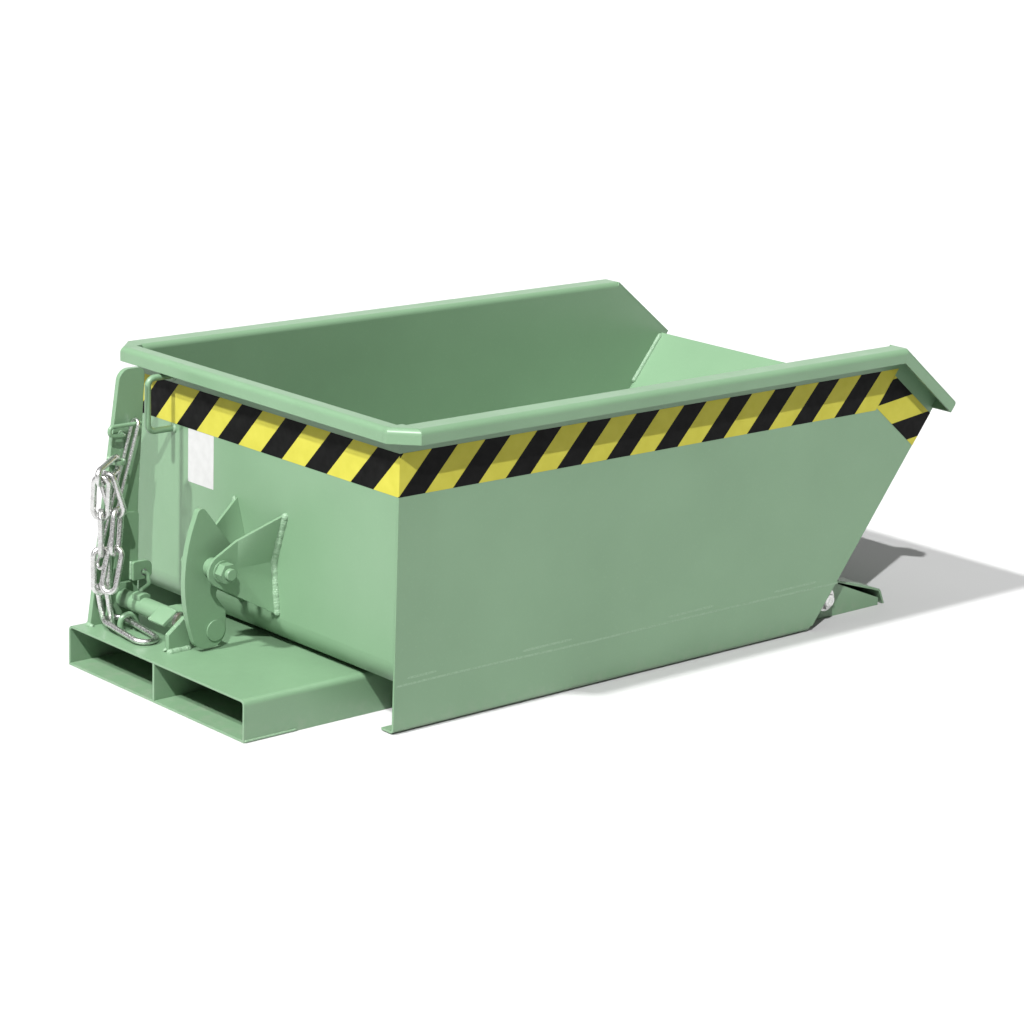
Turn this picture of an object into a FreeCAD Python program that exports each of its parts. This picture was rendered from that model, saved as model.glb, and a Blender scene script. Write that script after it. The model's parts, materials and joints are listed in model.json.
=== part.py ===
import FreeCAD, Part
import math
import os

# Low tipping skip with fork pockets: a sheet trough that tips forward over a flat base frame.
# Millimetres. +X points to the pouring chute, +Y to the skip's left, +Z up.
# The origin is on the floor, under the middle of the whole skip.

V = FreeCAD.Vector

# Trough
trough_sheet = 4.0
rim_width = 800.0
rim_top = 506.0
rim_side_overhang = 44.0
rim_rear_overhang = 32.0
rim_lip = 25.0
rim_corner_leg = 39.0
rim_bend = 6.0
rim_mitre_x = 602.0
rear_wall_x = -530.5
skirt_front_x = 430.5
skirt_gap = 2.0
skirt_foot = 26.0
skirt_foot_bend = 4.0
chute_angle = 51.6
chute_inset = 10.0
chute_length = 490.0
floor_gap = 1.0
rear_floor_bend = 45.0
chute_bend = 40.0

# Base frame
base_rear_x = -743.0
base_width = 494.0
base_height = 70.0
base_sheet = 4.0
base_bend = 6.0
divider_thickness = 5.0
fork_stop_x = 440.0
fork_stop_thickness = 6.0
wedge_width = 624.0
wedge_side_thickness = 8.0
wedge_crest_x = 536.0
wedge_slope = 17.0
wedge_nose_x = 667.0
wedge_nose_bend = 8.0
wedge_nose_reach = 14.0
wedge_side_gap = 12.0

# Tipping pivot
pivot_x = 500.5
pivot_z = 42.0
pivot_pin_diameter = 25.0
pivot_ear_thickness = 10.0
pivot_ear_radius = 27.0
pivot_ear_length = 110.0
pivot_side_gap = 2.0
pivot_bush_wall = 4.0
pivot_washer_diameter = 44.0
pivot_washer_thickness = 4.0
split_pin_diameter = 5.0
split_pin_length = 36.0
pivot_pin_end = 8.0
running_clearance = 0.05
end_float = 0.5

# Latch hook on the rear wall; its outline and catch pin are measured from the hook's pivot
hook_pivot_x = -635.0
hook_pivot_z = 213.0
hook_thickness = 12.0
hook_outline = [(-20, 109), (41, 31), (41, -17), (7, -47), (31, -79), (32, -136), (-27, -139), (-66, -11)]
hook_radii = [9, 16, 18, 12, 16, 27, 26, 270]
hook_pin_at = (10.5, -109.5)
hook_pin_diameter = 14.0
hook_pin_reach = 84.0
hook_plug_diameter = 36.0
hook_plug_height = 3.0
hook_bolt_diameter = 20.0
hook_hole_gap = 0.5
hook_nut_width = 30.0
hook_nut_height = 16.0
hook_head_height = 12.5
hook_washer_diameter = 37.0
hook_washer_thickness = 3.0
hook_thread_end = 8.0
hook_spacer_diameter = 32.0
bracket_thickness = 6.0
bracket_outer_y = 38.8
bracket_nose_radius = 27.0
bracket_flat_end = 30.0
bracket_top_z = 299.6
bracket_top_flare = 31.2
bracket_bottom_z = 124.0
bracket_bottom_flare = 12.2

# Pedal shaft on the base
shaft_x = -664.0
shaft_z = 115.0
shaft_tube_diameter = 31.0
shaft_bore_diameter = 17.0
shaft_journal_length = 26.0
shaft_shoulder_diameter = 29.0
shaft_shoulder_length = 8.5
near_gusset_y = 22.0
near_gusset_thickness = 10.0
near_gusset_outline = [(-33, -45), (-33, -15), (2, 12), (9, 5), (9, -45)]
far_bracket_thickness = 10.0
far_bracket_outline = [(-31, -45), (-25, 26), (17, 25), (31, 9), (31, -45)]
keeper_block_span = (138.0, 160.0)
keeper_block_width = 22.0
keeper_block_height = 6.5
pedal_span = (41.5, 84.0)
pedal_thickness = 6.0
pedal_lift = 1.0
pedal_front = 7.0
pedal_run = 28.0
pedal_slope = 34.0
tongue_reach = 29.0
tongue_level = (5.0, 13.0)

# Rear post with its foot plate, lugs, hanger and pull loop
post_thickness = 10.0
post_near_y = 220.0
post_outline = [(-718, 70), (-657.5, 502), (-608.5, 502), (-621.5, 290), (-630, 70)]
post_radii = [0, 22, 12, 0, 0]
foot_plate_thickness = 8.0
foot_plate_outline = [(-685, 70), (-659, 257), (-626, 257), (-630, 70)]
keeper_lug_outline = [(-642, 140), (-642, 172), (-605, 172), (-605, 146), (-612, 140)]
keeper_lug_thickness = 8.0
keeper_hole_at = (-621.0, 152.0)
keeper_hole_diameter = 12.0
keeper_rod = 6.5
keeper_reach = 12.0
keeper_turn_at = (-634.0, 171.0)
keeper_tail_y = 150.0
keeper_rest = 0.5
chain_lug_x = -673.0
chain_lug_z = 351.0
chain_lug_reach = 29.0
chain_lug_width = 22.0
chain_lug_thickness = 7.0
chain_lug_hole_diameter = 15.0
chain_lug_edge = 4.0
hanger_rod = 7.0
hanger_y = 206.0
hanger_z = 411.0
hanger_front_x = -626.0
hanger_rear_x = -681.0
hanger_turn_x = -657.0
hanger_gap = 15.0
loop_rod = 6.0
loop_radius = 9.0
loop_length = 262.0
loop_lean = 16.3
loop_rest = 0.5

# Securing chain, its welded staple and the oblong end link
chain_rod = 10.0
chain_inner_length = 65.0
chain_inner_width = 16.0
chain_slack = 1.2
chain_tail_back = 15.0
# Each link: the direction it runs in, and how far the chain has twisted there, in degrees
chain_links = [(-0.861, -0.476, -0.179, 0), (0.086, 0.203, -0.975, -7.5), (0.0, 0.0, -1.0, -17.1),
               (-0.010, -0.018, -1.0, -19.7), (0.247, 0.121, -0.961, -18.7)]
chain_tail_links = [(0.249, -0.176, -0.952, 0), (-0.173, -0.130, -0.976, 0), (-0.236, -0.034, -0.971, 0)]
staple_rod = 10.0
staple_radius = 15.0
staple_height = 12.0
staple_at = (-678.5, 166.0)
staple_turn = -8.0
end_link_rod = 10.0
end_link_radius = 20.0
end_link_length = 118.0
end_link_at = (-696.0, 134.0)
end_link_near_gap = 1.0
end_link_tilt = 5.84

# Handle bar on the rear wall
handle_rod = 11.0
handle_side_gap = 103.0
handle_reach = 52.5
handle_bottom_z = 381.0
handle_top_z = 473.0
handle_bend = 14.0

# Directions worked out from the sizes above
rim_half = rim_width / 2
side_outer_y = rim_half - rim_side_overhang
side_inner_y = side_outer_y - trough_sheet
handle_y = side_inner_y - handle_side_gap
floor_under_z = base_height + floor_gap
floor_top_z = floor_under_z + trough_sheet
wall_inner_x = rear_wall_x + trough_sheet
rim_rear_x = rear_wall_x - rim_rear_overhang
chute_up = (math.cos(math.radians(chute_angle)), math.sin(math.radians(chute_angle)))
chute_in = (-chute_up[1], chute_up[0])
rim_down = (chute_up[1], -chute_up[0])
base_half = base_width / 2
wedge_half = wedge_width / 2
wedge_drop = math.tan(math.radians(wedge_slope))
wedge_nose_z = base_height - (wedge_nose_x - wedge_crest_x) * wedge_drop
pivot_pin_radius = pivot_pin_diameter / 2
ear_inner_y = wedge_half + pivot_side_gap
ear_outer_y = ear_inner_y + pivot_ear_thickness
skirt_bottom_z = skirt_gap


def along(start, direction, distance):
    """Point reached from start by going a distance along a 2-D direction."""
    return (start[0] + direction[0] * distance, start[1] + direction[1] * distance)


def in_xz(y):
    return lambda point: V(point[0], y, point[1])


def in_yz(x):
    return lambda point: V(x, point[0], point[1])


def in_xy(z):
    return lambda point: V(point[0], point[1], z)


def unit(a, b):
    length = math.hypot(b[0] - a[0], b[1] - a[1])
    return ((b[0] - a[0]) / length, (b[1] - a[1]) / length)


def outline(points, radii, place):
    """Closed face through 2-D corners, each rounded by its own radius."""
    count = len(points)
    starts = []
    ends = []
    middles = []
    for i, corner in enumerate(points):
        back = unit(corner, points[i - 1])
        ahead = unit(corner, points[(i + 1) % count])
        radius = radii[i]
        cosine = max(-1.0, min(1.0, back[0] * ahead[0] + back[1] * ahead[1]))
        half = math.acos(cosine) / 2
        if radius == 0 or abs(half - math.pi / 2) < 1e-6:
            starts.append(corner)
            ends.append(corner)
            middles.append(None)
            continue
        reach = radius / math.tan(half)
        starts.append(along(corner, back, reach))
        ends.append(along(corner, ahead, reach))
        bisector = unit((0, 0), (back[0] + ahead[0], back[1] + ahead[1]))
        middles.append(along(corner, bisector, radius / math.sin(half) - radius))
    edges = []
    for i in range(count):
        if middles[i]:
            edges.append(Part.Arc(place(starts[i]), place(middles[i]), place(ends[i])).toShape())
        following = starts[(i + 1) % count]
        if math.dist(ends[i], following) > 1e-7:
            edges.append(Part.LineSegment(place(ends[i]), place(following)).toShape())
    return Part.Face(Part.Wire(edges))


def bent_sheet(points, thickness, radius, place, side=1):
    """Face of a bent sheet: points run along one skin, the sheet lies to their left (side 1) or right."""
    normals = []
    for a, b in zip(points, points[1:]):
        direction = unit(a, b)
        normals.append((-direction[1] * side, direction[0] * side))
    skin = []
    skin_radii = []
    other = []
    other_radii = []
    for i, point in enumerate(points):
        if i == 0 or i == len(points) - 1:
            normal = normals[min(i, len(normals) - 1)]
            skin.append(point)
            other.append(along(point, normal, thickness))
            skin_radii.append(0)
            other_radii.append(0)
            continue
        before = normals[i - 1]
        after = normals[i]
        scale = thickness / (1 + before[0] * after[0] + before[1] * after[1])
        skin.append(point)
        other.append((point[0] + (before[0] + after[0]) * scale, point[1] + (before[1] + after[1]) * scale))
        bend = radius[i - 1] if isinstance(radius, (list, tuple)) else radius
        turn = (before[0] * after[1] - before[1] * after[0]) * side
        skin_radii.append(bend + thickness if turn > 0 else bend)
        other_radii.append(bend if turn > 0 else bend + thickness)
    return outline(skin + other[::-1], skin_radii + other_radii[::-1], place)


def plate(points, span, axis, radii=None):
    """Flat plate: an outline across one axis, thick from span[0] to span[1] along it."""
    place = {"x": in_yz, "y": in_xz, "z": in_xy}[axis](span[0])
    step = {"x": V(1, 0, 0), "y": V(0, 1, 0), "z": V(0, 0, 1)}[axis]
    face = outline(points, radii or [0] * len(points), place)
    return face.extrude(step * (span[1] - span[0]))


def box(low, high):
    return Part.makeBox(high[0] - low[0], high[1] - low[1], high[2] - low[2], V(*low))


def bar_y(x, z, radius, y0, y1):
    return Part.makeCylinder(radius, y1 - y0, V(x, y0, z), V(0, 1, 0))


def ring_y(x, z, radius, bore, y0, y1):
    return bar_y(x, z, radius, y0, y1).cut(bar_y(x, z, bore, y0 - 1, y1 + 1))


def hexagon_y(x, z, width, y0, y1):
    """Hexagonal prism along Y, given across its flats."""
    corner = width / math.sqrt(3)
    points = []
    for i in range(6):
        angle = math.radians(60 * i)
        points.append((x + corner * math.cos(angle), z + corner * math.sin(angle)))
    return plate(points, (y0, y1), "y")


def bent_rod(points, diameter, bends):
    """Round rod along straight runs joined by tangent arcs, one bend radius per inner point."""
    edges = []
    start = points[0]
    for i in range(1, len(points) - 1):
        back = (points[i - 1] - points[i]).normalize()
        ahead = (points[i + 1] - points[i]).normalize()
        half = math.acos(back.dot(ahead)) / 2
        reach = bends[i - 1] / math.tan(half)
        arc_start = points[i] + back * reach
        arc_end = points[i] + ahead * reach
        bisector = (back + ahead).normalize()
        middle = points[i] + bisector * (bends[i - 1] / math.sin(half) - bends[i - 1])
        edges.append(Part.LineSegment(start, arc_start).toShape())
        edges.append(Part.Arc(arc_start, middle, arc_end).toShape())
        start = arc_end
    edges.append(Part.LineSegment(start, points[-1]).toShape())
    path = Part.Wire(edges)
    circle = Part.Circle(points[0], points[1] - points[0], diameter / 2)
    section = Part.Wire([circle.toShape()])
    return path.makePipeShell([section], True, False)


def oblong_link(centre, axis, wide, half_run, radius, rod):
    """Welded oblong link: two straight rods and two half rings, in the plane of axis and wide."""
    normal = axis.cross(wide)
    solids = []
    for sign in (1, -1):
        run_start = centre + wide * (radius * sign) - axis * half_run
        solids.append(Part.makeCylinder(rod / 2, 2 * half_run, run_start, axis))
        end = centre + axis * (half_run * sign)
        section = Part.Face(Part.Wire([Part.Circle(end + wide * (radius * sign), axis, rod / 2).toShape()]))
        solids.append(section.revolve(end, normal, -180))
    return solids[0].fuse(solids[1:]).removeSplitter()


def mirrored(shape):
    return shape.mirror(V(0, 0, 0), V(0, 1, 0))


def pocket_cover():
    corners = [(base_half, 0), (base_half, base_height), (-base_half, base_height), (-base_half, 0)]
    face = bent_sheet(corners, base_sheet, base_bend, in_yz(base_rear_x))
    return face.extrude(V(fork_stop_x - base_rear_x, 0, 0))


def pocket_floor():
    inner = base_half - base_sheet
    return box((base_rear_x, -inner, 0), (fork_stop_x, inner, base_sheet))


def pocket_divider():
    half = divider_thickness / 2
    return box((base_rear_x, -half, base_sheet), (fork_stop_x, half, base_height - base_sheet))


def fork_stop():
    inner = wedge_half - wedge_side_thickness
    rear = fork_stop_x + fork_stop_thickness
    return box((fork_stop_x, -inner, 0), (rear, inner, base_height - base_sheet))


def wedge_sheet():
    nose = (wedge_nose_x, wedge_nose_z)
    tip = (wedge_nose_x + wedge_nose_reach, 0)
    points = [(fork_stop_x, base_height), (wedge_crest_x, base_height), nose, tip]
    face = bent_sheet(points, base_sheet, [base_bend, wedge_nose_bend], in_xz(-wedge_half), -1)
    sheet = face.extrude(V(0, wedge_width, 0))
    ground = box((fork_stop_x, -wedge_half, -base_height), (tip[0] + base_height, wedge_half, 0))
    return sheet.cut(ground)


def wedge_side():
    under = base_height - base_sheet
    crest = (wedge_crest_x - base_sheet, under)
    nose_end = wedge_nose_x - base_sheet
    points = [(fork_stop_x, 0), (nose_end, 0), (nose_end, wedge_nose_z - base_sheet - wedge_side_gap)]
    points += [crest, (fork_stop_x, under)]
    side = plate(points, (wedge_half - wedge_side_thickness, wedge_half), "y")
    return side.cut(bar_y(pivot_x, pivot_z, pivot_pin_radius, 0, wedge_half + 1))


def pivot_washer_y():
    start = ear_outer_y + end_float
    return (start, start + pivot_washer_thickness)


def split_pin_y():
    return pivot_washer_y()[1] + end_float + split_pin_diameter / 2


def pivot_pin():
    end = split_pin_y() + pivot_pin_end
    pin = bar_y(pivot_x, pivot_z, pivot_pin_radius, wedge_half - wedge_side_thickness, end)
    pin = pin.makeChamfer(1.5, [edge for edge in pin.Edges if abs(edge.CenterOfMass.y - end) < 0.01])
    hole_base = V(pivot_x, split_pin_y(), pivot_z - pivot_pin_radius - 1)
    return pin.cut(Part.makeCylinder(split_pin_diameter / 2, pivot_pin_diameter + 2, hole_base))


def pivot_washer():
    span = pivot_washer_y()
    bore = pivot_pin_radius + running_clearance
    return ring_y(pivot_x, pivot_z, pivot_washer_diameter / 2, bore, *span)


def split_pin():
    start = V(pivot_x, split_pin_y(), pivot_z - split_pin_length / 2)
    shank = Part.makeCylinder(split_pin_diameter / 2, split_pin_length, start)
    eye_centre = V(pivot_x, split_pin_y(), pivot_z + split_pin_length / 2 + split_pin_diameter / 2)
    eye = Part.makeTorus(split_pin_diameter, split_pin_diameter / 3, eye_centre, V(0, 1, 0))
    return shank.fuse(eye)


def trough_skin():
    """Points of the trough's upper skin, from the rear lip over the rim, down the wall and up the chute."""
    foot = (skirt_front_x, 0)
    chute_start = along(foot, chute_in, chute_inset + trough_sheet)
    to_floor = (floor_top_z - chute_start[1]) / chute_up[1]
    chute_corner = along(chute_start, chute_up, to_floor)
    chute_end = along(chute_start, chute_up, chute_length)
    return [(rim_rear_x, rim_top - rim_lip), (rim_rear_x, rim_top), (wall_inner_x, rim_top),
            (wall_inner_x, floor_top_z), chute_corner, chute_end]


def trough_body():
    bends = [rim_bend, rim_bend, rear_floor_bend, chute_bend]
    face = bent_sheet(trough_skin(), trough_sheet, bends, in_xz(-side_inner_y), -1)
    return face.extrude(V(0, 2 * side_inner_y, 0))


def above_underside():
    """Everything on the load side of the trough sheet's underside, to trim the pieces welded below it."""
    top = rim_top + rim_lip
    chute_start = along((skirt_front_x, 0), chute_in, chute_inset)
    to_floor = (floor_under_z - chute_start[1]) / chute_up[1]
    chute_end = along(chute_start, chute_up, chute_length)
    points = [(rear_wall_x, top), (rear_wall_x, floor_under_z), along(chute_start, chute_up, to_floor)]
    points += [chute_end, (chute_end[0], top)]
    radii = [0, rear_floor_bend + trough_sheet, chute_bend + trough_sheet, 0, 0]
    return plate(points, (-rim_half, rim_half), "y", radii)


def mitre_ahead():
    """Half-space ahead of the rim's mitre plane, which halves the angle between level and sloped rim."""
    corner = (rim_mitre_x, rim_top)
    normal = unit((0, 0), (1 + rim_down[0], rim_down[1]))
    seam = (-normal[1], normal[0])
    low = along(corner, seam, -rim_width)
    high = along(corner, seam, rim_width)
    points = [low, along(low, normal, rim_width), along(high, normal, rim_width), high]
    return plate(points, (-rim_width, rim_width), "y")


def front_rim_length():
    """Length of the sloped rim, from the mitre to the line of the skirt's front edge."""
    foot = (skirt_front_x, 0)
    gap = (foot[0] - rim_mitre_x, foot[1] - rim_top)
    return gap[0] * rim_down[0] + gap[1] * rim_down[1]


def rim_profile(place):
    """Left rim in section: lip, flange and the start of the skirt, about the flange's top as height 0."""
    points = [(rim_half, -rim_lip), (rim_half, 0), (side_inner_y, 0), (side_inner_y, -rim_lip)]
    return bent_sheet(points, trough_sheet, rim_bend, place)


def rim_start_x():
    """Where the level side rims start, behind the chamfered rear corners."""
    return rim_rear_x + rim_corner_leg


def side_plate():
    start_x = rim_start_x()
    level_face = rim_profile(lambda point: V(start_x, point[0], rim_top + point[1]))
    level_rim = level_face.extrude(V(rim_mitre_x + rim_lip - start_x, 0, 0)).cut(mitre_ahead())
    bend_z = rim_top - trough_sheet - rim_bend
    corner = (rim_mitre_x, rim_top)
    under_end = along(along(corner, rim_down, front_rim_length()), chute_up, -trough_sheet)
    under_mitre = along(corner, chute_up, -trough_sheet)
    peak = along(under_mitre, rim_down, (rim_top - trough_sheet - under_mitre[1]) / rim_down[1])
    foot_z = skirt_gap + trough_sheet + skirt_foot_bend
    front_low = along((skirt_front_x, 0), chute_up, foot_z / chute_up[1])
    points = [(rear_wall_x, foot_z), front_low, under_end, peak, (rear_wall_x, peak[1])]
    web = plate(points, (side_inner_y, side_outer_y), "y")
    bend_low = (rear_wall_x - 1, side_inner_y - 1, bend_z)
    bend_high = (rim_mitre_x + rim_lip, side_outer_y + 1, rim_top + 1)
    web = web.cut(box(bend_low, bend_high).cut(mitre_ahead()))
    foot_inner_y = side_outer_y - trough_sheet - skirt_foot
    foot_top_z = skirt_gap + trough_sheet
    foot_points = [(side_inner_y, foot_z), (side_inner_y, foot_top_z), (foot_inner_y, foot_top_z)]
    foot_face = bent_sheet(foot_points, trough_sheet, skirt_foot_bend, in_yz(rear_wall_x))
    foot_end_x = along((skirt_front_x, 0), chute_up, skirt_gap / chute_up[1])[0]
    foot = foot_face.extrude(V(foot_end_x - rear_wall_x, 0, 0))
    return web.fuse([level_rim, foot]).removeSplitter()


def rounded_hood(points, low, high, bend):
    """Upright prism whose top edges along the first three outline points are rounded."""
    solid = plate(points, (low, high), "z")
    edges = []
    for a, b in zip(points[:3], points[1:3]):
        middle = V((a[0] + b[0]) / 2, (a[1] + b[1]) / 2, high)
        edges += [edge for edge in solid.Edges if (edge.CenterOfMass - middle).Length < 0.01]
    return solid.makeFillet(bend, edges)


def rim_corner():
    """Chamfered rear corner of the left rim: flat top with a lip along its rear and slanted edges."""
    rear = rim_rear_x
    start_x = rim_start_x()
    slant_y = rim_half - rim_corner_leg
    low = rim_top - rim_lip
    outer = [(rear, side_inner_y), (rear, slant_y), (start_x, rim_half), (start_x, side_inner_y)]
    skin = rounded_hood(outer, low, rim_top, rim_bend + trough_sheet)
    inset = trough_sheet
    slip = inset * (math.sqrt(2) - 1)
    past = rim_lip
    inner = [(rear + inset, side_inner_y - past), (rear + inset, slant_y - slip)]
    inner.append((start_x + past, rim_half - slip - inset + past))
    inner.append((start_x + past, side_inner_y - past))
    cavity = rounded_hood(inner, low - 1, rim_top - inset, rim_bend)
    bend_z = rim_top - trough_sheet - rim_bend
    web = box((rear_wall_x, side_inner_y, bend_z), (start_x, side_outer_y, rim_top - inset))
    return skin.cut(cavity.cut(web)).removeSplitter()


def front_rim():
    """Sloped rim beside the chute: flange over the side plate's edge, with a lip outside."""
    corner = (rim_mitre_x, rim_top)
    back = along(corner, rim_down, -rim_lip)

    def place(point):
        spot = along(back, chute_up, point[1])
        return V(spot[0], point[0], spot[1])

    points = [(rim_half, -rim_lip), (rim_half, 0), (side_inner_y, 0)]
    face = bent_sheet(points, trough_sheet, rim_bend, place)
    run = front_rim_length() + rim_lip
    return face.extrude(V(rim_down[0] * run, 0, rim_down[1] * run)).common(mitre_ahead())


def rim_end_cap():
    """Plate that closes the lower end of the sloped rim, inside its lip and under its flange."""
    end = along((rim_mitre_x, rim_top), rim_down, front_rim_length())

    def place(point):
        spot = along(end, chute_up, point[1])
        return V(spot[0], point[0], spot[1])

    points = [(side_outer_y, -trough_sheet), (side_outer_y, -rim_lip), (rim_half - trough_sheet, -rim_lip),
              (rim_half - trough_sheet, -trough_sheet)]
    face = outline(points, [0, 0, 0, rim_bend], place)
    return face.extrude(V(-rim_down[0] * trough_sheet, 0, -rim_down[1] * trough_sheet))


def pivot_ear():
    """Ear plate under the trough, shaped to its underside and rounded about the tipping pin."""
    centre = (pivot_x, pivot_z)
    reach = along(along((skirt_front_x, 0), chute_in, chute_inset), chute_up, pivot_ear_length * 2)
    rear = (pivot_x - pivot_ear_length, floor_under_z)
    far = math.dist(centre, reach)
    turn = math.atan2(reach[1] - pivot_z, reach[0] - pivot_x) - math.acos(pivot_ear_radius / far)
    front_touch = along(centre, (math.cos(turn), math.sin(turn)), pivot_ear_radius)
    far = math.dist(centre, rear)
    turn = math.atan2(rear[1] - pivot_z, rear[0] - pivot_x) + math.acos(pivot_ear_radius / far)
    rear_touch = along(centre, (math.cos(turn), math.sin(turn)), pivot_ear_radius)
    bottom = (pivot_x, pivot_z - pivot_ear_radius)
    place = in_xz(ear_inner_y)
    edges = [Part.LineSegment(place(rear), place(rear_touch)).toShape(),
             Part.Arc(place(rear_touch), place(bottom), place(front_touch)).toShape(),
             Part.LineSegment(place(front_touch), place(reach)).toShape()]
    top = (rear[0], reach[1])
    edges.append(Part.LineSegment(place(reach), place(top)).toShape())
    edges.append(Part.LineSegment(place(top), place(rear)).toShape())
    ear = Part.Face(Part.Wire(edges)).extrude(V(0, pivot_ear_thickness, 0)).cut(above_underside())
    bore = pivot_pin_radius + running_clearance + pivot_bush_wall
    return ear.cut(bar_y(pivot_x, pivot_z, bore, ear_inner_y - 1, ear_outer_y + 1))


def pivot_bush():
    bore = pivot_pin_radius + running_clearance
    return ring_y(pivot_x, pivot_z, bore + pivot_bush_wall, bore, ear_inner_y, ear_outer_y)


hook_bolt_radius = hook_bolt_diameter / 2
hook_bore_radius = hook_bolt_radius + hook_hole_gap
hook_half = hook_thickness / 2
bracket_inner_y = bracket_outer_y - bracket_thickness
hook_nut_y = bracket_outer_y + hook_washer_thickness


def tangent_edge(wall_z, sign):
    """Straight bracket edge from the wall to its round nose, as the touching point and the wall point."""
    wall = (rear_wall_x, wall_z)
    centre = (hook_pivot_x, hook_pivot_z)
    swing = math.acos(bracket_nose_radius / math.dist(centre, wall))
    turn = math.atan2(wall_z - hook_pivot_z, rear_wall_x - hook_pivot_x) + sign * swing
    return along(centre, (math.cos(turn), math.sin(turn)), bracket_nose_radius), wall


def hook_bracket():
    """Left hook bracket: flat round nose for the bolt, then two halves that flare apart to the wall."""
    top_touch, top_wall = tangent_edge(bracket_top_z, 1)
    bottom_touch, bottom_wall = tangent_edge(bracket_bottom_z, -1)
    flat_x = hook_pivot_x + bracket_flat_end
    top_way = unit(top_touch, top_wall)
    top_flat = along(top_touch, top_way, (flat_x - top_touch[0]) / top_way[0])
    down = unit(bottom_touch, bottom_wall)
    bottom_flat = along(bottom_touch, down, (flat_x - bottom_touch[0]) / down[0])
    place = in_xz(bracket_inner_y)
    nose = (hook_pivot_x - bracket_nose_radius, hook_pivot_z)
    edges = [Part.LineSegment(place(bottom_flat), place(bottom_touch)).toShape(),
             Part.Arc(place(bottom_touch), place(nose), place(top_touch)).toShape(),
             Part.LineSegment(place(top_touch), place(top_flat)).toShape(),
             Part.LineSegment(place(top_flat), place(bottom_flat)).toShape()]
    flat = Part.Face(Part.Wire(edges)).extrude(V(0, bracket_thickness, 0))

    def section(x, top_z, top_y, bottom_z, bottom_y):
        outer = [(top_y, top_z), (bracket_outer_y, hook_pivot_z), (bottom_y, bottom_z)]
        inner = [(point[0] - bracket_thickness, point[1]) for point in reversed(outer)]
        spots = [V(x, point[0], point[1]) for point in outer + inner]
        return Part.makePolygon(spots + spots[:1])

    near = section(flat_x, top_flat[1], bracket_outer_y, bottom_flat[1], bracket_outer_y)
    wall = section(rear_wall_x, bracket_top_z, bracket_outer_y + bracket_top_flare,
                   bracket_bottom_z, bracket_outer_y + bracket_bottom_flare)
    flared = Part.makeLoft([near, wall], True, True)
    return flat.fuse(flared).cut(bar_y(hook_pivot_x, hook_pivot_z, hook_bore_radius, 0, rim_half))


def hook_bolt():
    """Hexagon bolt through both brackets and the hook: head on the left, thread end on the right."""
    x, z = hook_pivot_x, hook_pivot_z
    end = -(hook_nut_y + hook_nut_height + hook_thread_end)
    shank = bar_y(x, z, hook_bolt_radius, end, hook_nut_y)
    shank = shank.makeChamfer(1.5, [edge for edge in shank.Edges if abs(edge.CenterOfMass.y - end) < 0.01])
    head = hexagon_y(x, z, hook_nut_width, hook_nut_y, hook_nut_y + hook_head_height)
    return shank.fuse(head).removeSplitter()


def hook_nut():
    nut = hexagon_y(hook_pivot_x, hook_pivot_z, hook_nut_width, -hook_nut_y - hook_nut_height, -hook_nut_y)
    return nut.cut(bar_y(hook_pivot_x, hook_pivot_z, hook_bolt_radius, -rim_half, 0))


def hook_washer():
    span = (bracket_outer_y, hook_nut_y)
    return ring_y(hook_pivot_x, hook_pivot_z, hook_washer_diameter / 2, hook_bore_radius, *span)


def hook_spacer():
    span = (hook_half + end_float, bracket_inner_y)
    return ring_y(hook_pivot_x, hook_pivot_z, hook_spacer_diameter / 2, hook_bore_radius, *span)


def hook_spot(offset):
    return (hook_pivot_x + offset[0], hook_pivot_z + offset[1])


def latch_hook():
    points = [hook_spot(offset) for offset in hook_outline]
    hook = plate(points, (-hook_half, hook_half), "y", hook_radii)
    bore = hook_bolt_radius + running_clearance
    hook = hook.cut(bar_y(hook_pivot_x, hook_pivot_z, bore, -rim_half, rim_half))
    pin = hook_spot(hook_pin_at)
    return hook.cut(bar_y(pin[0], pin[1], hook_pin_diameter / 2, -rim_half, rim_half))


def hook_pin():
    """Catch pin through the hook's toe, closed on the right by its round weld plug."""
    x, z = hook_spot(hook_pin_at)
    pin = bar_y(x, z, hook_pin_diameter / 2, -hook_half, hook_pin_reach)
    plug = bar_y(x, z, hook_plug_diameter / 2, -hook_half - hook_plug_height, -hook_half)
    return pin.fuse(plug).removeSplitter()


shaft_tube_radius = shaft_tube_diameter / 2
keeper_block_radius = shaft_tube_radius + keeper_block_height
shaft_bore_radius = shaft_bore_diameter / 2
near_gusset_far_y = near_gusset_y + near_gusset_thickness
foot_plate_near_y = post_near_y - foot_plate_thickness
far_bracket_y = foot_plate_near_y - far_bracket_thickness
shaft_tube_span = (near_gusset_far_y + shaft_shoulder_length + end_float, far_bracket_y - end_float)


def shaft_spot(offset):
    return (shaft_x + offset[0], shaft_z + offset[1])


def near_gusset():
    points = [shaft_spot(offset) for offset in near_gusset_outline]
    return plate(points, (near_gusset_y, near_gusset_far_y), "y", [0, 0, 6, 4, 0])


def far_bracket():
    points = [shaft_spot(offset) for offset in far_bracket_outline]
    return plate(points, (far_bracket_y, foot_plate_near_y), "y")


def shaft_journals():
    """Fixed round journals on gusset and bracket, on which the shaft tube turns."""
    radius = shaft_bore_radius - running_clearance
    shoulder_end = near_gusset_far_y + shaft_shoulder_length
    near = bar_y(shaft_x, shaft_z, radius, near_gusset_far_y, shoulder_end + shaft_journal_length)
    shoulder = bar_y(shaft_x, shaft_z, shaft_shoulder_diameter / 2, near_gusset_far_y, shoulder_end)
    far = bar_y(shaft_x, shaft_z, radius, far_bracket_y - shaft_journal_length, far_bracket_y)
    return Part.makeCompound([near.fuse(shoulder).removeSplitter(), far])


def shaft_tube():
    return ring_y(shaft_x, shaft_z, shaft_tube_radius, shaft_bore_radius, *shaft_tube_span)


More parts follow.
